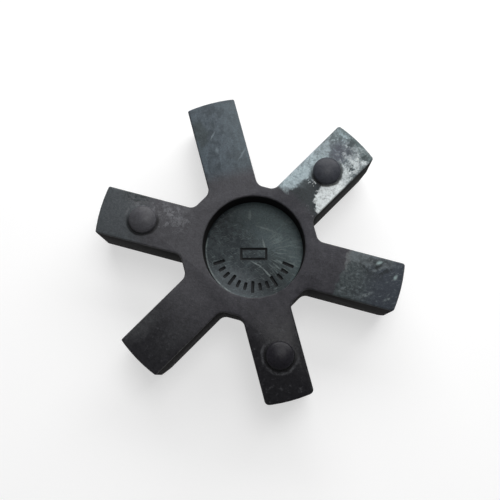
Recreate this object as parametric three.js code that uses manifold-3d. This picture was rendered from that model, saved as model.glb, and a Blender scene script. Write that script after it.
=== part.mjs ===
// Spider for a three-jaw flexible shaft coupling: the rubber star that sits between the two hubs.
// It is one moulding. Six parallel-sided legs stand out from a round hub, and the hubs' jaws go into the
// six gaps. A shallow round recess in each face leaves a solid web across the centre. Domed spacer pips
// stand on every other leg, three on each face, and keep the legs off the hubs.
// Millimetres, +Z up. The origin is on the shaft axis, level with the tops of the lower pips, which the
// spider stands on. One leg lies along +X.

import * as THREE from 'three';
import { mergeVertices, toCreasedNormals } from 'three/addons/utils/BufferGeometryUtils.js';
import Module from 'manifold-3d';

const wasm = await Module();
wasm.setup();

// Legs and hub
const outerRadius = 47.6;
const legCount = 6;
const legWidth = 15.0;
const bodyThickness = 21.4;
const hubRadius = 20.9;
const deepGapExtra = 1.2; // one gap is moulded this much deeper into the hub than the others
const deepGap = 1; // counted from the gap after the leg along +X
const rootFillet = 2.0;
const tipCornerRadius = 1.2;
const edgeRound = 0.5;

// Recess in each face
const hubWall = 5.15; // rubber left round a recess that is on centre
const webThickness = 5.4;
const recessDraft = THREE.MathUtils.degToRad(3);
const recessFloorFillet = 0.8;
const recessLipRound = 0.4;
const upperRecessShift = 1.46; // the upper recess is moulded off centre by this much
const upperRecessShiftAngle = THREE.MathUtils.degToRad(32);

// Spacer pips
const pipRadius = 4.3;
const pipHeight = 1.9;
const pipDomeRise = 1.2;
const pipSink = 1.0; // how far the pip's foot runs into the leg, so that the two join

// Places that follow from the sizes above
const lowerFace = pipHeight;
const upperFace = lowerFace + bodyThickness;
const recessRadius = hubRadius - hubWall;
const recessDepth = (bodyThickness - webThickness) / 2;
const pipPitchRadius = (hubRadius + outerRadius) / 2; // half way along a leg's free length
const legPitch = (2 * Math.PI) / legCount;

// Fineness of the round surfaces
const recessSides = 64;
const pipSides = 32;
const cornerSteps = 4;
const tipSteps = 8;
const hubSteps = 4;
const edgeSteps = 2;
const leastFloorArc = 0.02; // half the smallest arc left between a gap's two fillets, in radians
const creaseAngle = THREE.MathUtils.degToRad(30);
const cutOvershoot = 1.0; // how far a cutter stands out of the face that it opens
const weldDistance = 1e-4;

// Points along an arc, both ends included.
function arcPoints(centre, radius, from, to, steps) {
  const points = [];
  for (let i = 0; i <= steps; i++) {
    const angle = THREE.MathUtils.lerp(from, to, i / steps);
    points.push(new THREE.Vector2(
      centre.x + radius * Math.cos(angle),
      centre.y + radius * Math.sin(angle),
    ));
  }
  return points;
}

function polar(radius, angle) {
  return new THREE.Vector2(radius * Math.cos(angle), radius * Math.sin(angle));
}

// The floor of a gap, from one leg's side to the next: a fillet, an arc of the hub and a fillet.
// Legs too wide for the hub meet outside it, and the floor then lies where their fillets meet.
function gapFloor(startAngle, hubRadiusHere) {
  const filletOffset = legWidth / 2 + rootFillet;
  const meetingRadius = filletOffset / Math.sin(legPitch / 2 - leastFloorArc) - rootFillet;
  const floorRadius = Math.max(hubRadiusHere, meetingRadius);
  const lean = Math.asin(filletOffset / (floorRadius + rootFillet));
  const from = startAngle + lean;
  const to = startAngle + legPitch - lean;
  const origin = new THREE.Vector2();
  const near = polar(floorRadius + rootFillet, from);
  const far = polar(floorRadius + rootFillet, to);
  const legSide = startAngle - Math.PI / 2;
  const nextLegSide = startAngle + legPitch + Math.PI / 2;
  return [
    ...arcPoints(near, rootFillet, legSide, from - Math.PI, cornerSteps),
    ...arcPoints(origin, floorRadius, from, to, hubSteps).slice(1, -1),
    ...arcPoints(far, rootFillet, to + Math.PI, nextLegSide, cornerSteps),
  ];
}

// The end of a leg: two rounded corners and an arc of the outer circle between them.
function legTip(angle) {
  const inset = legWidth / 2 - tipCornerRadius;
  const lean = Math.asin(inset / (outerRadius - tipCornerRadius));
  const origin = new THREE.Vector2();
  const first = polar(outerRadius - tipCornerRadius, angle - lean);
  const last = polar(outerRadius - tipCornerRadius, angle + lean);
  return [
    ...arcPoints(first, tipCornerRadius, angle - Math.PI / 2, angle - lean, cornerSteps),
    ...arcPoints(origin, outerRadius, angle - lean, angle + lean, tipSteps).slice(1, -1),
    ...arcPoints(last, tipCornerRadius, angle + lean, angle + Math.PI / 2, cornerSteps),
  ];
}

function starOutline() {
  const points = [];
  for (let i = 0; i < legCount; i++) {
    const angle = i * legPitch;
    const floorRadius = i === deepGap ? hubRadius - deepGapExtra : hubRadius;
    points.push(...legTip(angle), ...gapFloor(angle, floorRadius));
  }
  return new THREE.Shape(points);
}

function toSolid(geometry) {
  geometry.deleteAttribute('normal');
  geometry.deleteAttribute('uv');
  const merged = mergeVertices(geometry, weldDistance);
  return new wasm.Manifold(new wasm.Mesh({
    numProp: 3,
    vertProperties: new Float32Array(merged.attributes.position.array),
    triVerts: new Uint32Array(merged.index.array),
  }));
}

// A solid of revolution about Z from (radius, height) points.
function turned(profile, sides) {
  const geometry = new THREE.LatheGeometry(profile, sides);
  geometry.rotateX(Math.PI / 2);
  return geometry;
}

// The six legs and the hub, with no recess yet. The rounding of the long edges stays inside that of
// the tip corners.
function starBody() {
  const round = Math.min(edgeRound, tipCornerRadius / 2);
  const geometry = new THREE.ExtrudeGeometry(starOutline(), {
    depth: bodyThickness - 2 * round,
    bevelEnabled: true,
    bevelThickness: round,
    bevelSize: round,
    bevelOffset: -round,
    bevelSegments: edgeSteps,
  });
  geometry.translate(0, 0, lowerFace + round);
  return toSolid(geometry);
}

// What is taken out of a face for its recess, with the mouth at height 0 and the floor below it:
// a filleted floor, a drafted wall and a rounded lip.
function recessCutter() {
  const floorRadius = recessRadius - recessDepth * Math.tan(recessDraft);
  const floorCorner = new THREE.Vector2(floorRadius - recessFloorFillet, recessFloorFillet - recessDepth);
  const lipCorner = new THREE.Vector2(recessRadius + recessLipRound, -recessLipRound);
  const profile = [
    new THREE.Vector2(0, -recessDepth),
    ...arcPoints(floorCorner, recessFloorFillet, -Math.PI / 2, -recessDraft, cornerSteps),
    ...arcPoints(lipCorner, recessLipRound, Math.PI - recessDraft, Math.PI / 2, edgeSteps),
    new THREE.Vector2(recessRadius + recessLipRound, cutOvershoot),
    new THREE.Vector2(0, cutOvershoot),
  ];
  return turned(profile, recessSides);
}

function upperRecess() {
  const shift = polar(upperRecessShift, upperRecessShiftAngle);
  return toSolid(recessCutter().translate(shift.x, shift.y, upperFace));
}

function lowerRecess() {
  return toSolid(recessCutter().rotateX(Math.PI).translate(0, 0, lowerFace));
}

// A short round pip with a domed top, standing on height 0.
function pip() {
  const straight = pipHeight - pipDomeRise;
  const sphereRadius = (pipRadius ** 2 + pipDomeRise ** 2) / (2 * pipDomeRise);
  const rim = Math.asin(pipRadius / sphereRadius);
  const centre = new THREE.Vector2(0, pipHeight - sphereRadius);
  const dome = arcPoints(centre, sphereRadius, Math.PI / 2 - rim, Math.PI / 2, cornerSteps);
  dome[dome.length - 1].x = 0;
  return turned([
    new THREE.Vector2(0, -pipSink),
    new THREE.Vector2(pipRadius, -pipSink),
    new THREE.Vector2(pipRadius, straight),
    ...dome.slice(1),
  ], pipSides);
}

// Pips stand on the legs 1, 3 and 5 above and on the legs 0, 2 and 4 below.
function pipOnLeg(leg) {
  const place = polar(pipPitchRadius, leg * legPitch);
  const standsUp = leg % 2 === 1;
  const geometry = standsUp ? pip() : pip().rotateX(Math.PI);
  return toSolid(geometry.translate(place.x, place.y, standsUp ? upperFace : lowerFace));
}

function spiderGeometry() {
  let solid = starBody().subtract(upperRecess()).subtract(lowerRecess());
  for (let leg = 0; leg < legCount; leg++) {
    solid = solid.add(pipOnLeg(leg));
  }
  const mesh = solid.getMesh();
  const geometry = new THREE.BufferGeometry();
  geometry.setAttribute('position', new THREE.BufferAttribute(mesh.vertProperties, 3));
  geometry.setIndex(new THREE.BufferAttribute(mesh.triVerts, 1));
  return toCreasedNormals(geometry, creaseAngle);
}

const blackRubber = new THREE.MeshStandardMaterial({
  color: 0x35363a,
  roughness: 0.6,
  metalness: 0.0,
});

const spider = new THREE.Mesh(spiderGeometry(), blackRubber);
spider.name = 'spider';

const group = new THREE.Group();
group.add(spider);

export default group;
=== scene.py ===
import math

import bpy
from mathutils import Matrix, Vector


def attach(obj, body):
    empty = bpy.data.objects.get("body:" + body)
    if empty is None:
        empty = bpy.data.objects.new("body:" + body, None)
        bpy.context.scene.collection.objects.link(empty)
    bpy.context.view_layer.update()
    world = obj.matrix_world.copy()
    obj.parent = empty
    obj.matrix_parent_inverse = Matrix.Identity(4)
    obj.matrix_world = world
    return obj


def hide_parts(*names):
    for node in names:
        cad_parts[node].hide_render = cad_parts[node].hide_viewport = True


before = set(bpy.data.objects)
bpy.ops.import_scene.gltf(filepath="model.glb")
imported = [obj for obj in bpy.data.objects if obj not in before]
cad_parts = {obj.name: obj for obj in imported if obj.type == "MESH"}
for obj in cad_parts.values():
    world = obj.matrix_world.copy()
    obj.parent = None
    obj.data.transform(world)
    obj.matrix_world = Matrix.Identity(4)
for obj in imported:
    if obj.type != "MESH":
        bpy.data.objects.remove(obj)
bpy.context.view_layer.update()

# The photographer's camera. It looks down at the spider from 27 cm above the table, on the near side of it,
# 9 degrees off the shaft axis, so a little of the near walls shows.
mm = 0.001

camera_data = bpy.data.cameras.new("camera")
camera_data.sensor_width = 36
camera_data.lens = 58.76
camera_data.clip_start = 5 * mm
camera = bpy.data.objects.new("camera", camera_data)
camera.location = (13.57 * mm, -36.55 * mm, 269.13 * mm)
camera.rotation_euler = (math.radians(8.818), math.radians(0.782), math.radians(15.096))
bpy.context.scene.collection.objects.link(camera)
bpy.context.scene.camera = camera

# The moulding: a hub with six parallel-sided legs, pressed from black nitrile rubber in a two-part mould.
# The blank is a disc as wide as the legs' tips, and the six gaps for the hub jaws are cut out of it.
outer_radius = 47.6 * mm
leg_count = 6
leg_half_width = 7.5 * mm
lower_face = 1.9 * mm
upper_face = 23.3 * mm
gap_floors = [20.9 * mm, 19.7 * mm, 20.9 * mm, 20.9 * mm, 20.9 * mm, 20.9 * mm]
root_fillet = 1.5 * mm
tip_corners = [0.7, 0.7, 0.45, 0.45, 0.45, 1.2]  # millimetres, leg by leg
edge_round = 0.5 * mm

leg_pitch = 2 * math.pi / leg_count
middle = (lower_face + upper_face) / 2
thickness = upper_face - lower_face
hair = 0.02 * mm  # how far off a vertex may lie and still count as on a face


def polar(radius, angle, height=0.0):
    return Vector((radius * math.cos(angle), radius * math.sin(angle), height))


def last_made(name):
    made = bpy.context.object
    made.name = name
    made.data.name = name
    bpy.ops.object.transform_apply(location=True, rotation=True, scale=True)
    return made


def deselect_all():
    if bpy.context.object and bpy.context.object.mode != "OBJECT":
        bpy.ops.object.mode_set(mode="OBJECT")
    bpy.ops.object.select_all(action="DESELECT")


def work_on(piece):
    deselect_all()
    piece.select_set(True)
    bpy.context.view_layer.objects.active = piece


def pick(piece, kind, passes):
    """Opens a piece for editing with only the edges or faces whose corners all pass selected."""
    work_on(piece)
    mesh = piece.data
    bpy.context.tool_settings.mesh_select_mode = (kind == "VERT", kind == "EDGE", kind == "FACE")
    bpy.ops.object.mode_set(mode="EDIT")
    bpy.ops.mesh.select_all(action="DESELECT")
    bpy.ops.object.mode_set(mode="OBJECT")
    items = {"VERT": mesh.vertices, "EDGE": mesh.edges, "FACE": mesh.polygons}[kind]
    for item in items:
        corners = [item.co] if kind == "VERT" else [mesh.vertices[i].co for i in item.vertices]
        item.select = all(passes(corner) for corner in corners)
    bpy.ops.object.mode_set(mode="EDIT")


def pick_upright(piece, passes):
    """Opens a piece for editing with only its upright edges that pass on plan selected."""
    work_on(piece)
    mesh = piece.data
    bpy.context.tool_settings.mesh_select_mode = (False, True, False)
    bpy.ops.object.mode_set(mode="EDIT")
    bpy.ops.mesh.select_all(action="DESELECT")
    bpy.ops.object.mode_set(mode="OBJECT")
    for edge in mesh.edges:
        a, b = (mesh.vertices[i].co for i in edge.vertices)
        is_upright = (a.xy - b.xy).length < hair and abs(a.z - b.z) > hair
        edge.select = is_upright and passes(a)
    bpy.ops.object.mode_set(mode="EDIT")


def round_picked(radius, segments):
    bpy.ops.mesh.bevel(offset=radius, offset_type="OFFSET", segments=segments, profile=0.5, clamp_overlap=False)
    bpy.ops.object.mode_set(mode="OBJECT")


def combine(piece, tool, operation):
    work_on(piece)
    modifier = piece.modifiers.new("combine", "BOOLEAN")
    modifier.operation = operation
    modifier.solver = "EXACT"
    modifier.object = tool
    bpy.ops.object.modifier_apply(modifier=modifier.name)
    bpy.data.objects.remove(tool)


tip_facets = 18  # per sixth of the disc
deselect_all()
bpy.ops.mesh.primitive_cylinder_add(vertices=leg_count * tip_facets, radius=outer_radius, depth=thickness,
                                    location=(0, 0, middle), rotation=(0, 0, math.radians(90)))
spider = last_made("spider_moulding")

wedge_radius = 60 * mm
root_facets = 6
wedge_apex = leg_half_width / math.sin(leg_pitch / 2)
for gap, floor in enumerate(gap_floors):
    along = leg_pitch * (gap + 0.5)
    deselect_all()
    place = polar(wedge_apex + wedge_radius, along, middle)
    # A three-sided cylinder has its first corner on +Y, which is turned to point at the hub.
    bpy.ops.mesh.primitive_cylinder_add(vertices=3, radius=wedge_radius, depth=2 * thickness, location=place,
                                        rotation=(0, 0, along + math.radians(90)))
    jaw = last_made("jaw_space")
    bpy.ops.object.mode_set(mode="EDIT")
    bpy.ops.mesh.select_all(action="SELECT")
    bpy.ops.mesh.bisect(plane_co=polar(floor, along), plane_no=polar(1, along), use_fill=True, clear_inner=True)
    bpy.ops.object.mode_set(mode="OBJECT")
    pick_upright(jaw, lambda corner: abs(corner.xy.dot(polar(1, along).xy) - floor) < hair)
    round_picked(root_fillet, root_facets)
    combine(spider, jaw, "DIFFERENCE")

corner_facets = 4
for leg, corner_radius in enumerate(tip_corners):
    toward = polar(1, leg_pitch * leg).xy
    beside = polar(1, leg_pitch * leg + math.pi / 2).xy
    pick_upright(spider, lambda corner: abs(corner.xy.length - outer_radius) + abs(abs(corner.xy.dot(beside))
                 - leg_half_width) < hair and corner.xy.dot(toward) > 0)
    round_picked(corner_radius * mm, corner_facets)

# Three lower corners have worn back, each cut by blocks that lean outwards: leg, side and how far, in millimetres.
worn_corners = [(1, -1, 4.2), (4, 1, 4.2), (0, -1, 2.4)]
worn_lean = math.radians(22)
worn_blocks = ((18, 0.28), (42, 0.62), (68, 0.36))  # turn from the leg in degrees, and share of the wear
block_size = 16 * mm
for leg, side, worn in worn_corners:
    axis = leg_pitch * leg
    corner = polar(math.sqrt(outer_radius ** 2 - leg_half_width ** 2), axis, lower_face)
    corner += polar(side * leg_half_width, axis + math.pi / 2)
    for turn, share in worn_blocks:
        outwards = polar(math.cos(worn_lean), axis + side * math.radians(turn), -math.sin(worn_lean))
        deselect_all()
        bpy.ops.mesh.primitive_cube_add(size=block_size, rotation=outwards.to_track_quat("Z", "Y").to_euler(),
                                        location=corner + outwards * (block_size / 2 - share * worn * mm))
        combine(spider, last_made("corner_block"), "DIFFERENCE")

edge_facets = 3
for face in (lower_face, upper_face):
    pick(spider, "EDGE", lambda corner: abs(corner.z - face) < hair)
    round_picked(edge_round, edge_facets)

# The recess in each face, moulded by a plug in that half of the mould. The upper plug sat off centre, so
# the hub's wall is thin on one side. The floor carries a dial of sunk strokes and a blank insert mark.
recess_radius = 15.75 * mm
recess_depth = 8.0 * mm
recess_draft = math.tan(math.radians(3))
recess_overshoot = 2 * mm
recess_floor_fillet = 0.8 * mm
recess_lip = 0.4 * mm
recess_sides = 120
recess_fillet_facets = 6
recess_lip_facets = 4
recess_centres = {upper_face: polar(1.46 * mm, math.radians(32)), lower_face: Vector((0, 0, 0))}


def sink_recess(face, outward, centre):
    floor = face - outward * recess_depth
    height = recess_depth + recess_overshoot
    ends = {
        floor: recess_radius - recess_depth * recess_draft,
        face + outward * recess_overshoot: recess_radius + recess_overshoot * recess_draft,
    }
    deselect_all()
    bpy.ops.mesh.primitive_cone_add(vertices=recess_sides, radius1=ends[min(ends)], radius2=ends[max(ends)],
                                    depth=height, location=(centre.x, centre.y, (min(ends) + max(ends)) / 2))
    plug = last_made("recess_plug")
    pick(plug, "EDGE", lambda corner: abs(corner.z - floor) < hair)
    round_picked(recess_floor_fillet, recess_fillet_facets)
    combine(spider, plug, "DIFFERENCE")
    pick(spider, "EDGE", lambda corner: abs(corner.z - face) < hair
         and abs((corner - centre).xy.length - recess_radius) < hair)
    round_picked(recess_lip, recess_lip_facets)


sink_recess(upper_face, 1, recess_centres[upper_face])
sink_recess(lower_face, -1, recess_centres[lower_face])

dial_radius = 11.6 * mm
dial_from = 214
dial_to = 352
dial_strokes = 13
stroke_width = 1.0 * mm
stroke_lengths = (3.8 * mm, 2.4 * mm, 2.4 * mm)
stroke_corner = 0.28 * mm
mark_depth = 0.5 * mm
insert_size = (8.6 * mm, 4.0 * mm)
insert_line = 0.8 * mm
insert_corner = 0.2 * mm
insert_turn = math.radians(15)
recess_floor = upper_face - recess_depth
dial_centre = recess_centres[upper_face]
insert_centre = dial_centre + Vector((0.2, -1.1, 0)) * mm


def floor_block(centre, turn, length, width, corner):
    """A block with rounded corners, half sunk in the recess floor."""
    deselect_all()
    bpy.ops.mesh.primitive_cube_add(size=1, location=(centre.x, centre.y, recess_floor),
                                    rotation=(0, 0, turn), scale=(length, width, 2 * mark_depth))
    block = last_made("floor_block")
    bpy.ops.object.mode_set(mode="EDIT")
    bpy.ops.mesh.select_all(action="SELECT")
    bpy.ops.mesh.bevel(offset=corner, segments=2)
    bpy.ops.object.mode_set(mode="OBJECT")
    return block


for index in range(dial_strokes):
    turn = math.radians(dial_from + (dial_to - dial_from) * index / (dial_strokes - 1))
    stroke = floor_block(dial_centre + polar(dial_radius, turn), turn, stroke_lengths[index % 3], stroke_width,
                         stroke_corner)
    combine(spider, stroke, "DIFFERENCE")

insert_frame = floor_block(insert_centre, insert_turn, *insert_size, insert_corner)
deselect_all()
bpy.ops.mesh.primitive_cube_add(size=1, location=(insert_centre.x, insert_centre.y, recess_floor),
                                rotation=(0, 0, insert_turn),
                                scale=(insert_size[0] - 2 * insert_line, insert_size[1] - 2 * insert_line,
                                       4 * mark_depth))
combine(insert_frame, last_made("insert_middle"), "DIFFERENCE")
combine(spider, insert_frame, "DIFFERENCE")

# The spacer pips, part of the same moulding: low buttons with a domed top and a small fillet at the foot.
# They stand on alternate legs, three above and three below, and keep the legs clear of the hubs.
pip_circle = 33.9 * mm
pip_sink = 1.0 * mm
pip_sides = 64
pip_fillet_facets = 3
pip_height = 1.9  # this and the profile's radius and height pairs are in millimetres
pip_sphere = 9.0
pip_steps = (3.4, 3.0, 2.5, 1.9, 1.3, 0.7, 0.3)
pip_profile = [(4.3, 0.253), (4.277, 0.455), (4.209, 0.648), (4.099, 0.819), (3.954, 0.962), (3.778, 1.07)]
pip_profile += [(step, pip_height - pip_sphere + math.sqrt(pip_sphere ** 2 - step ** 2)) for step in pip_steps]
pip_foot_fillet = 0.2 * mm
pip_shifts = {5: 0.5 * mm}

for leg in range(leg_count):
    up = leg % 2 == 1
    face = upper_face if up else lower_face
    shift = pip_shifts.get(leg, 0.0)
    axis = leg_pitch * leg
    centre = polar(pip_circle, axis) + polar(shift, axis + math.pi / 2)
    radius, height = (value * mm for value in pip_profile[0])
    deselect_all()
    bpy.ops.mesh.primitive_cylinder_add(vertices=pip_sides, radius=radius, depth=height + pip_sink,
                                        location=(0, 0, (height - pip_sink) / 2))
    pip = last_made("pip")
    pick(pip, "FACE", lambda corner: corner.z > height - hair)
    for inner, outer in zip(pip_profile[1:], pip_profile):
        bpy.ops.mesh.inset(thickness=(outer[0] - inner[0]) * mm)
        bpy.ops.transform.translate(value=(0, 0, (inner[1] - outer[1]) * mm))
    bpy.ops.object.mode_set(mode="OBJECT")
    pip.location = (centre.x, centre.y, face)
    pip.rotation_euler = (0 if up else math.pi, 0, 0)
    bpy.ops.object.transform_apply(location=True, rotation=True, scale=True)
    combine(spider, pip, "UNION")
    pick(spider, "EDGE", lambda corner: abs(corner.z - face) < hair
         and abs((corner - centre).xy.length - radius) < hair)
    round_picked(pip_foot_fillet, pip_fillet_facets)

crease_angle = math.radians(32)
work_on(spider)
bpy.ops.object.shade_smooth_by_angle(angle=crease_angle)

# The finish: matt black rubber with the mould's fine grain. Handling has left a thin film on the faces, a white
# bloom has come out of one leg, and the leg beside it and the web have turned greenish. Some tones are painted
# light:
# sheen and glare on the north, north-east and east legs, shade on the southern legs and pip, shadows at the pips'
# feet, and a highlight, a fill and shade in the upper recess. Patches are placed in millimetres along and across a
# leg, and tones are given as a screen shows them.
rubber = bpy.data.materials.new("black_rubber")
rubber.use_nodes = True
tree = rubber.node_tree
shader = tree.nodes["Principled BSDF"]


def join(kind, sockets, **settings):
    """Adds a node, with each socket given a value or the output that feeds it, and returns its outputs."""
    made = tree.nodes.new("ShaderNode" + kind)
    for name, value in settings.items():
        setattr(made, name, value)
    for socket, value in sockets.items():
        if isinstance(value, bpy.types.NodeSocket):
            tree.links.new(value, made.inputs[socket])
        else:
            made.inputs[socket].default_value = value
    return made.outputs


def calc(operation, *terms):
    return join("Math", dict(enumerate(terms)), operation=operation)[0]


def product(*terms):
    result = terms[0]
    for term in terms[1:]:
        result = calc("MULTIPLY", result, term)
    return result


def most(*terms):
    result = terms[0]
    for term in terms[1:]:
        result = calc("MAXIMUM", result, term)
    return result


def lack(share):
    return calc("SUBTRACT", 1.0, share)


def off_by(value, target):
    """How far a value is from a target, either way."""
    return calc("ABSOLUTE", calc("SUBTRACT", value, target))


def radius_of(x, y):
    return calc("SQRT", calc("ADD", product(x, x), product(y, y)))


def fade(value, start, end, low=0.0, high=1.0):
    """Goes smoothly from low at start to high at end, and is level outside them."""
    return join("MapRange", {"Value": value, "From Min": start, "From Max": end, "To Min": low, "To Max": high},
                interpolation_type="SMOOTHSTEP")[0]


def noise(where, scale, detail=3.0, roughness=0.55):
    return join("TexNoise", {"Vector": where, "Scale": scale, "Detail": detail, "Roughness": roughness})


def tone(red, green, blue):
    """A colour given as a screen shows it, from 0 to 255, on the shader's own scale."""
    return tuple(((part / 255 + 0.055) / 1.055) ** 2.4 for part in (red, green, blue)) + (1.0,)


def coat(under, over, share):
    return join("Mix", {0: share, 6: under, 7: over}, data_type="RGBA")[2]


def seen_from(where, centre, turn, size=(1, 1)):
    """The pattern's place in millimetres, taken from a centre, along a turned axis and in units of a size."""
    return join("Mapping", {"Vector": where, "Location": (centre[0], centre[1], 0), "Rotation": (0, 0, turn),
                            "Scale": (size[0], size[1], 1000)}, vector_type="TEXTURE")[0]


def patch(where, leg, along, across, half_length, half_width, soft=0.3, turn=0):
    """One inside an oval patch that lies on a leg, and nought past its soft rim."""
    axis = leg_pitch * leg
    centre = polar(along, axis) + polar(across, axis + math.pi / 2)
    local = seen_from(where, centre, axis + math.radians(turn), (half_length, half_width))
    reach = join("VectorMath", {0: local}, operation="LENGTH")[1]
    return fade(reach, 1 + soft, 1 - soft)


def scratch(leg, start, end, width, soft=0.6):
    """One along a thin line between two places on a leg."""
    run = Vector(end) - Vector(start)
    halfway = (Vector(end) + Vector(start)) / 2
    turn = math.degrees(math.atan2(run.y, run.x))
    return patch(wavy, leg, halfway.x, halfway.y, run.length / 2, width / 2, soft, turn)


def specks(where, scale, size, amount):
    """Small dots, one in each cell of a random net, of which the given amount is kept."""
    cell = join("TexVoronoi", {"Vector": where, "Scale": scale})
    dot = fade(cell["Distance"], size * 1.5, size * 0.7)
    kept = join("SeparateColor", {0: cell["Color"]})[0]
    return product(dot, fade(kept, amount, amount - 0.05))


object_place = join("TexCoord", {})["Object"]
spot = join("VectorMath", {0: object_place, "Scale": 1 / mm}, operation="SCALE")[0]
x, y, height = join("SeparateXYZ", {0: spot})


def warped(scale, reach, detail=4.0):
    """The place pushed about by noise, so that what is drawn on it gets an uneven rim."""
    push = join("VectorMath", {0: noise(spot, scale, detail, 0.6)[1], 1: (0.5, 0.5, 0.5)}, operation="SUBTRACT")[0]
    push = join("VectorMath", {0: push, "Scale": reach}, operation="SCALE")[0]
    return join("VectorMath", {0: spot, 1: push}, operation="ADD")[0]


ragged = warped(0.42, 5.0)
frayed = warped(0.6, 3.4, 3.0)
wavy = warped(0.25, 1.2, 2.0)

top = upper_face / mm
bottom = lower_face / mm
upper_web = recess_floor / mm - 0.1  # the masks of the web's faces are centred this far inside the rubber
lower_web = bottom + recess_depth / mm + 0.1
web_reach = 15.5
upper = fade(height, top - 0.6, top - 0.3)
lower = fade(height, bottom + 0.6, bottom + 0.3)
on_pip = most(fade(height, top + 0.04, top + 0.18), fade(height, bottom - 0.04, bottom - 0.18))
floor_place = seen_from(spot, dial_centre / mm, 0)
floor_x, floor_y, unused = join("SeparateXYZ", {0: floor_place})
floor_reach = radius_of(floor_x, floor_y)
in_recess = fade(floor_reach, web_reach, web_reach - 0.3)
upper_floor = product(fade(off_by(height, upper_web), 0.9, 0.6), in_recess)
lower_floor = product(fade(off_by(height, lower_web), 0.9, 0.6), in_recess)

grain = noise(spot, 1.9, 3.0, 0.65)[0]
mottle = noise(spot, 0.35, 4.0, 0.6)[0]
dust = noise(spot, 0.9, 5.0, 0.7)[0]
blotches = noise(ragged, 0.5, 6.0, 0.62)[0]
leg_places = [join("SeparateXYZ", {0: seen_from(spot, (0, 0), leg_pitch * leg)}) for leg in range(leg_count)]


def on_leg(leg, start, end):
    """Nought towards the hub and one towards the tip of a leg, on that leg alone."""
    along, across, unused = leg_places[leg]
    return product(fade(along, start, end), fade(calc("ABSOLUTE", across), 8.6, 7.8))


def streaks(turn, length, width, low, high):
    """Fine lines at a turn in degrees, where stretched noise runs high."""
    local = seen_from(wavy, (0, 0), math.radians(turn), (length, width))
    return fade(noise(local, 1.0, 3.0, 0.6)[0], low, high)


def uneven(field, amount, low, high):
    """A field of cover made patchy by noise, from nought at low to one at high."""
    return fade(calc("MULTIPLY_ADD", calc("SUBTRACT", blotches, 0.5), amount, field), low, high)


# Bare rubber, then the film that the faces carry, with fine scuffs.
colour = tone(17, 16, 17)
face_film_and_light = coat(tone(40, 39, 44), tone(54, 53, 58), fade(mottle, 0.35, 0.65))
# Painted sheen: the film is made lighter towards the north, where the window's light falls on the faces. It is also
# made lighter towards the west.
sheen_towards_north = fade(y, -30.0, 38.0)
towards_west = fade(x, 12.0, -24.0)
face_film_and_light = coat(face_film_and_light, tone(74, 75, 80), product(sheen_towards_north, 0.38))
face_film_and_light = coat(face_film_and_light, tone(84, 84, 87), product(towards_west, 0.46))
scuffs = most(streaks(15, 3.0, 0.22, 0.56, 0.68), streaks(-50, 4.0, 0.2, 0.60, 0.70))
face_film_and_light = coat(face_film_and_light, tone(84, 84, 88), product(scuffs, 0.35))

# North leg: a bluish film with lengthwise streaks, which comes in gradually from the hub outwards. Its light bluish
# tone is partly painted sheen from the window.
north_film_and_sheen = coat(tone(57, 65, 71), tone(74, 84, 91), fade(mottle, 0.36, 0.62))
north_film_and_sheen = coat(north_film_and_sheen, tone(88, 99, 107), product(streaks(114, 6.0, 1.6, 0.46, 0.68), 0.45))
north_film_and_sheen = coat(north_film_and_sheen, tone(92, 103, 108), fade(leg_places[2][1], 1.0, -7.0, 0.0, 0.4))
north_film_and_sheen = coat(north_film_and_sheen, tone(54, 62, 62), product(patch(ragged, 2, 38.5, 5.5, 4.5, 2.2), 0.6))
north_marks = most(scratch(2, (30.3, -6.8), (28.0, -4.2), 0.5), patch(wavy, 2, 32.3, 1.8, 0.8, 0.4, 0.8),
                   scratch(2, (36.2, 2.6), (38.0, 1.2), 0.5))
north_film_and_sheen = coat(north_film_and_sheen, tone(128, 140, 146), product(north_marks, 0.5))
face_film_and_light = coat(face_film_and_light, north_film_and_sheen, product(on_leg(2, 21.5, 26.5), 0.9))

# West leg: a smooth bluish outer half and a broken pale mottle beside the pip and towards the hub.
face_film_and_light = coat(face_film_and_light, tone(72, 77, 80), product(on_leg(3, 30.0, 38.0), 0.8))
west_area = most(patch(ragged, 3, 27.5, -2.6, 8.0, 4.4, 0.5), patch(ragged, 3, 34.5, -5.2, 6.0, 1.8, 0.6))
west_mottle = product(west_area, fade(blotches, 0.44, 0.60), fade(dust, 0.3, 0.6, 0.4, 1))
face_film_and_light = coat(face_film_and_light, tone(112, 113, 117), product(west_mottle, 0.7))
west_dark = product(patch(ragged, 3, 37.5, -6.2, 4.5, 1.8, 0.5), fade(dust, 0.42, 0.55))
face_film_and_light = coat(face_film_and_light, tone(30, 34, 34), product(west_dark, 0.7))

# South-west and south legs: the film thins out to nearly bare rubber, with pale smears and faint specks. Their
# darker tone is also painted shade, for the light falling off away from the window.
bare_and_shaded = most(on_leg(4, 19.0, 40.0), on_leg(5, 11.0, 33.0))
bare_and_shaded_tone = coat(tone(34, 34, 37), tone(23, 23, 26), fade(x, -8.0, 4.0))
face_film_and_light = coat(face_film_and_light, bare_and_shaded_tone, product(bare_and_shaded, 0.92))
south_west_smears = most(patch(ragged, 4, 40.0, -6.0, 6.0, 2.6, 0.6),
                         product(patch(ragged, 4, 36.0, 3.0, 5.0, 3.0, 0.7), 0.35))
face_film_and_light = coat(face_film_and_light, tone(70, 71, 73), product(south_west_smears, 0.6))
faint = product(fade(blotches, 0.54, 0.66), fade(dust, 0.42, 0.6), bare_and_shaded)
face_film_and_light = coat(face_film_and_light, tone(74, 75, 78), product(faint, 0.45))

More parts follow.
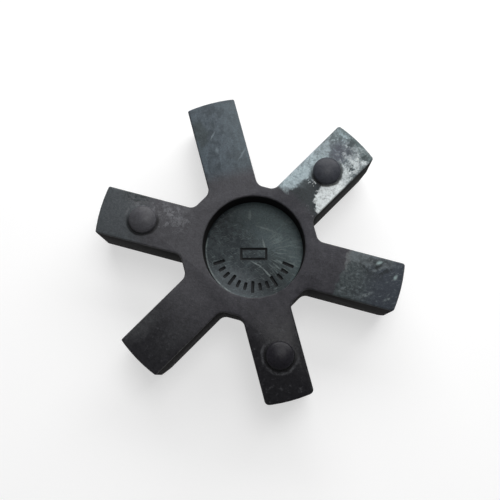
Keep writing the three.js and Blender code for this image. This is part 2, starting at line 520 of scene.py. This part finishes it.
# East leg: a greenish patch on the outer part, bluer towards the tip, with nicks and light scratches. The patch's
# light tone is partly painted sheen from the window.
along, across, unused = join("SeparateXYZ", {0: seen_from(frayed, (0, 0), 0)})
east_patch = product(fade(calc("ADD", along, product(across, -0.16)), 28.7, 29.6), on_leg(0, 24.0, 27.0))
east_film_and_sheen = coat(tone(48, 55, 57), tone(73, 81, 83), fade(dust, 0.34, 0.66))
east_film_and_sheen = coat(east_film_and_sheen, tone(52, 58, 66), fade(leg_places[0][0], 33.0, 42.0))
east_film_and_sheen = coat(east_film_and_sheen, tone(104, 111, 114), product(patch(ragged, 0, 35.5, 6.2, 8.5, 2.2), 0.6))
face_film_and_light = coat(face_film_and_light, east_film_and_sheen, product(east_patch, 0.9))
east_scuffs = product(streaks(28, 1.4, 0.55, 0.50, 0.62), on_leg(0, 29.0, 33.0), fade(dust, 0.45, 0.6))
face_film_and_light = coat(face_film_and_light, tone(94, 102, 105), product(east_scuffs, 0.6))
east_dark = product(patch(ragged, 0, 38.6, 4.0, 5.4, 3.2, 0.5), fade(blotches, 0.54, 0.46))
face_film_and_light = coat(face_film_and_light, tone(22, 27, 29), product(east_dark, 0.7))
east_edge = product(fade(off_by(along, 29.9), 0.9, 0.2), fade(across, -1.0, 3.0), on_leg(0, 24.0, 27.0))
face_film_and_light = coat(face_film_and_light, tone(104, 107, 108), product(east_edge, 0.5))
east_marks = most(scratch(0, (36.4, -5.6), (39.2, -3.7), 0.9, 0.9), scratch(0, (38.4, 2.9), (41.2, 5.0), 0.7, 0.9),
                  scratch(0, (29.5, -5.6), (31.5, -4.4), 0.8, 0.9), scratch(0, (43.4, -5.0), (45.2, -3.4), 0.6, 0.9))
face_film_and_light = coat(face_film_and_light, tone(108, 116, 118), product(east_marks, fade(dust, 0.38, 0.58, 0.1, 0.8)))
nicks = most(patch(wavy, 0, 39.3, 5.8, 0.75, 0.4, 0.8, 30), patch(wavy, 0, 45.2, 2.6, 0.4, 0.75, 0.8, -20))
face_film_and_light = coat(face_film_and_light, tone(24, 30, 31), product(patch(wavy, 0, 39.0, 5.0, 1.6, 1.0, 0.6), 0.6))
face_film_and_light = coat(face_film_and_light, tone(150, 168, 168), product(nicks, 0.75))

# North-east leg: a grey haze under white bloom, broken by a dark tongue, a grey zone and dark specks. The
# bloom starts along two lines that slant out from the roots. The haze and bloom are partly real residue and partly a
# painted reflection of the window's glare.
beside_hub = on_leg(1, 19.5, 20.5)
haze_and_glare_field = most(product(patch(ragged, 1, 26.0, 7.6, 8.5, 5.0, 0.4), 0.9), on_leg(1, 27.5, 33.0))
tongue = patch(frayed, 1, 25.0, 0.6, 4.6, 2.7, 0.3)
haze_and_glare = uneven(calc("SUBTRACT", haze_and_glare_field, tongue), 1.2, 0.1, 0.8)
haze_and_glare_tone = coat(tone(92, 101, 104), tone(140, 151, 155), fade(blotches, 0.38, 0.62))
haze_and_glare_tone = coat(haze_and_glare_tone, tone(70, 73, 83), product(patch(ragged, 1, 41.6, 1.2, 4.6, 3.2, 0.6), 0.85))
haze_and_glare_tone = coat(haze_and_glare_tone, tone(84, 98, 98), fade(leg_places[1][0], 41.0, 49.0, 0.0, 0.7))
face_film_and_light = coat(face_film_and_light, tone(50, 56, 58), product(on_leg(1, 20.0, 23.0), 0.8))
face_film_and_light = coat(face_film_and_light, haze_and_glare_tone, product(haze_and_glare, beside_hub, 0.95))
along, across, unused = join("SeparateXYZ", {0: seen_from(frayed, (0, 0), leg_pitch)})
left_start = fade(calc("MULTIPLY_ADD", across, 0.78, along), 24.6, 26.4)
right_start = fade(calc("MULTIPLY_ADD", across, -0.87, along), 26.6, 28.6)
left_bloom_and_glare = product(patch(ragged, 1, 27.0, 6.6, 10.0, 5.0, 0.5), left_start, fade(blotches, 0.34, 0.58, 0.45, 1.0))
face_film_and_light = coat(face_film_and_light, tone(172, 188, 194), product(left_bloom_and_glare, lack(product(tongue, 0.8)), 0.72))
under_pip = product(patch(wavy, 1, 28.2, -0.8, 1.1, 3.2, 0.5), fade(blotches, 0.47, 0.53))
bloom_and_glare_field = most(product(patch(frayed, 1, 28.6, -6.4, 6.6, 4.2, 0.35), right_start, 1.3),
                   product(patch(frayed, 1, 38.6, -5.2, 8.6, 3.2, 0.6), 0.62),
                   product(patch(frayed, 1, 44.0, 1.0, 4.0, 6.5, 0.6), 0.3))
dark_spots = most(product(specks(frayed, 0.5, 0.22, 0.35), 0.6), patch(frayed, 1, 39.7, -4.9, 0.8, 0.6),
                  patch(frayed, 1, 45.3, -5.6, 1.0, 1.0), patch(frayed, 1, 45.8, 0.5, 1.0, 1.0))
bloom_and_glare = uneven(calc("SUBTRACT", bloom_and_glare_field, most(tongue, product(dark_spots, 0.6))), 2.1, 0.15, 1.1)
bloom_and_glare = product(most(bloom_and_glare, under_pip), beside_hub, fade(dust, 0.32, 0.52, 0.6, 1.0))
bloom_and_glare_tone = coat(tone(214, 220, 221), tone(176, 196, 203), fade(leg_places[1][1], 0.0, 4.0))
face_film_and_light = coat(face_film_and_light, bloom_and_glare_tone, bloom_and_glare)
face_film_and_light = coat(face_film_and_light, tone(34, 42, 42), product(dark_spots, beside_hub, 0.6))

# The pips are clean, and handling has rubbed the long edges a little paler. The south pip is made darker, painted
# shade for the light falling off away from the window, and the pips are lighter towards the west.
pip_film_and_shade = coat(tone(54, 56, 62), tone(70, 70, 74), fade(x, 0.0, -20.0))
pip_film_and_shade = coat(pip_film_and_shade, tone(31, 30, 35), fade(y, -15.0, -25.0))
face_film_and_light = coat(face_film_and_light, pip_film_and_shade, on_pip)


def pip_ring(leg, shift, reach, width, turn, spread):
    """One along part of a ring round a pip's foot, centred on a turn in degrees from the leg's own axis."""
    axis = leg_pitch * leg
    centre = (polar(pip_circle / mm, axis) + polar(shift, axis + math.pi / 2)).xy
    across, along, unused = join("SeparateXYZ", {0: seen_from(wavy, centre, axis + math.radians(turn))})
    length = radius_of(across, along)
    gate = fade(calc("ABSOLUTE", calc("ARCTAN2", along, across)), math.radians(spread), math.radians(spread * 0.6))
    return product(fade(off_by(length, reach), width, width * 0.3), gate)


rings = most(product(pip_ring(5, 0.5, 5.5, 0.6, -40, 130), 0.42),
             product(pip_ring(3, 0.0, 5.5, 0.7, -45, 70), 0.55))
face_film_and_light = coat(face_film_and_light, tone(92, 93, 96), product(rings, lack(on_pip), fade(dust, 0.4, 0.58, 0.15, 0.9)))
# Painted shadows: near-black crescents at each upper pip's foot, on the side away from the window.
foot_shadows = most(pip_ring(1, 0.0, 4.5, 0.8, -120, 140), pip_ring(3, 0.0, 4.5, 0.8, 110, 130),
            pip_ring(5, 0.5, 4.5, 0.7, -20, 150))
face_film_and_light = coat(face_film_and_light, tone(14, 15, 16), product(foot_shadows, lack(on_pip), 0.85))
rubbed = product(fade(height, top - 0.52, top - 0.35), fade(height, top - 0.01, top - 0.12), fade(dust, 0.4, 0.6))
face_film_and_light = coat(face_film_and_light, tone(84, 84, 84), product(rubbed, 0.35))

colour = coat(colour, face_film_and_light, upper)
under_film = coat(tone(50, 50, 53), tone(62, 64, 67), fade(mottle, 0.3, 0.75))
under_film = coat(under_film, tone(42, 42, 45), on_pip)
colour = coat(colour, under_film, most(lower, lower_floor))

# Upper recess floor: a greenish film, lighter on the north-east side, with fine lines that run outwards there. The
# lighter north-east side is partly painted light, which fills in the shadow that the recess wall casts from the
# window.
floor_turn = calc("ARCTAN2", floor_y, floor_x)
fan = join("CombineXYZ", {0: product(floor_turn, 9.0), 1: product(floor_reach, 0.12), 2: 0.0})[0]
fan_lines = fade(noise(fan, 1.6, 3.0, 0.6)[0], 0.5, 0.62)
fan_gate = product(fade(floor_reach, 4.5, 7.5), fade(off_by(floor_turn, 0.25), 0.95, 0.6))
floor_film_and_light = coat(tone(38, 44, 48), tone(59, 67, 70), fade(blotches, 0.38, 0.62))
north_east = fade(calc("ADD", product(floor_x, 0.6), product(floor_y, 0.8)), -3.0, 12.0)
floor_film_and_light = coat(floor_film_and_light, tone(98, 112, 114), product(north_east, 0.85))
floor_film_and_light = coat(floor_film_and_light, tone(88, 94, 98), product(patch(ragged, 0, -2.0, -11.0, 11.0, 4.5, 0.6), 0.6))
floor_film_and_light = coat(floor_film_and_light, tone(34, 39, 41), product(patch(ragged, 0, 9.0, -6.5, 5.5, 7.0, 0.6), 0.6))
floor_film_and_light = coat(floor_film_and_light, tone(122, 134, 134), product(fan_lines, fan_gate, 0.55))
floor_wear = most(streaks(35, 2.6, 0.3, 0.56, 0.68), streaks(-30, 3.4, 0.3, 0.58, 0.7))
floor_film_and_light = coat(floor_film_and_light, tone(104, 114, 114), product(floor_wear, fade(mottle, 0.36, 0.56), 0.75))
floor_marks = most(scratch(0, (0.1, 8.7), (6.2, 8.1), 0.5), scratch(0, (1.5, -2.6), (5.2, -4.0), 0.4),
                   scratch(0, (5.2, -4.0), (8.8, -6.3), 0.4), scratch(0, (-3.4, 12.8), (-2.7, 10.0), 0.8),
                   scratch(0, (3.0, 5.0), (5.0, 1.0), 0.5))
floor_film_and_light = coat(floor_film_and_light, tone(128, 138, 138), product(floor_marks, 0.6))
# Painted highlight: a pale line along the floor's fillet on the south-west side, where the fillet faces the light.
fillet_highlight_gate = fade(calc("ABSOLUTE", calc("ADD", floor_turn, 2.45)), 0.85, 0.5)
fillet_highlight = product(fade(off_by(floor_reach, 15.05), 0.28, 0.12), fillet_highlight_gate)
floor_film_and_light = coat(floor_film_and_light, tone(110, 118, 118), product(fillet_highlight, fade(dust, 0.35, 0.6, 0.3, 1.0)))
# Painted shade: the insides of the sunk strokes and the insert mark are made dark.
mark_shade = product(fade(height, upper_web + 0.02, upper_web - 0.15), fade(height, upper_web - 1.2, upper_web - 1.0))
floor_film_and_light = coat(floor_film_and_light, tone(22, 25, 27), mark_shade)
colour = coat(colour, floor_film_and_light, upper_floor)

# Grain over all of it.
shade = calc("ADD", fade(grain, 0.3, 0.7, 0.86, 1.14), fade(dust, 0.3, 0.7, -0.12, 0.12))
colour = join("VectorMath", {0: colour, "Scale": shade}, operation="SCALE")[0]
tree.links.new(colour, shader.inputs["Base Color"])

# Gloss: bare rubber shines most, the film and the bloom less, and the mould-rough walls not at all.
bare_roughness = 0.36
film_roughness = 0.56
bloom_roughness = 0.85
specular_level = 0.2
bare_share = most(on_pip, product(bare_and_shaded, upper))
rough = calc("ADD", fade(bare_share, 0.0, 1.0, film_roughness, bare_roughness), fade(dust, 0.3, 0.7, -0.06, 0.08))
rough = most(rough, lack(most(upper, lower, upper_floor, lower_floor)))
rough = most(rough, product(bloom_and_glare, upper, bloom_roughness))
tree.links.new(rough, shader.inputs["Roughness"])
shader.inputs["Specular IOR Level"].default_value = specular_level

relief_depth = 0.035 * mm
pits = specks(spot, 1.4, 0.16, 0.35)
relief = calc("SUBTRACT", calc("ADD", grain, product(dust, 0.8)), product(pits, 1.2))
bump = join("Bump", {"Height": relief, "Distance": relief_depth, "Strength": 1.0})[0]
tree.links.new(bump, shader.inputs["Normal"])
spider.data.materials.clear()
spider.data.materials.append(rubber)

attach(spider, "root")
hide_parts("spider")

# The table top, a pale painted board that runs on past the view. It is a plain sheet, and it glows a little for
# the camera, so that it shows nearly white and still takes the spider's shadow.
table_size = 8.0
board_grey = 0.5
board_glow = 0.58
deselect_all()
bpy.ops.mesh.primitive_plane_add(size=table_size)
table_top = last_made("table_top")

board = bpy.data.materials.new("pale_board")
board.use_nodes = True
tree = board.node_tree
tree.nodes.clear()


def seen_white():
    """One for rays from the camera and for those that glossy or clear surfaces send, and nought for light."""
    path = join("LightPath", {})
    return most(path["Is Camera Ray"], path["Is Glossy Ray"], path["Is Transmission Ray"])


paint = join("BsdfDiffuse", {"Color": (board_grey, board_grey, board_grey, 1)})[0]
glow = join("Emission", {"Strength": product(seen_white(), board_glow)})[0]
join("OutputMaterial", {"Surface": join("AddShader", {0: paint, 1: glow})[0]})
table_top.data.materials.append(board)

# The room and its lamps: white walls below a dim ceiling, a window beyond the north leg and a soft lamp nearly
# overhead.
room = bpy.data.worlds.new("room")
bpy.context.scene.world = room
room.use_nodes = True
tree = room.node_tree
tree.nodes.clear()
room_light = 0.15
ceiling_white = 0.12
look_up = join("SeparateXYZ", {0: join("TexCoord", {})["Generated"]})[2]
room_white = fade(look_up, 0.2, 0.45, 1.0, ceiling_white)
walls = join("Background", {"Strength": fade(seen_white(), 0, 1, room_light, room_white)})[0]
join("OutputWorld", {"Surface": walls})


def hang_lamp(name, tilt, azimuth, distance, width, height, watts):
    """Hangs a flat lamp that faces the spider, at a tilt from straight above and an azimuth, in degrees."""
    lamp_data = bpy.data.lights.new(name, "AREA")
    lamp_data.shape = "RECTANGLE"
    lamp_data.size = width
    lamp_data.size_y = height
    lamp_data.energy = watts
    lamp = bpy.data.objects.new(name, lamp_data)
    tilt = math.radians(tilt)
    lamp.location = polar(distance * math.sin(tilt), math.radians(azimuth), middle + distance * math.cos(tilt))
    lamp.rotation_euler = (Vector((0, 0, middle)) - lamp.location).to_track_quat("-Z", "Y").to_euler()
    bpy.context.scene.collection.objects.link(lamp)


hang_lamp("window", 56, 92, 0.42, 0.6, 0.26, 2.1)
hang_lamp("ceiling_lamp", 16, 75, 0.6, 0.25, 0.25, 1.1)

bpy.context.scene.view_settings.view_transform = "Standard"
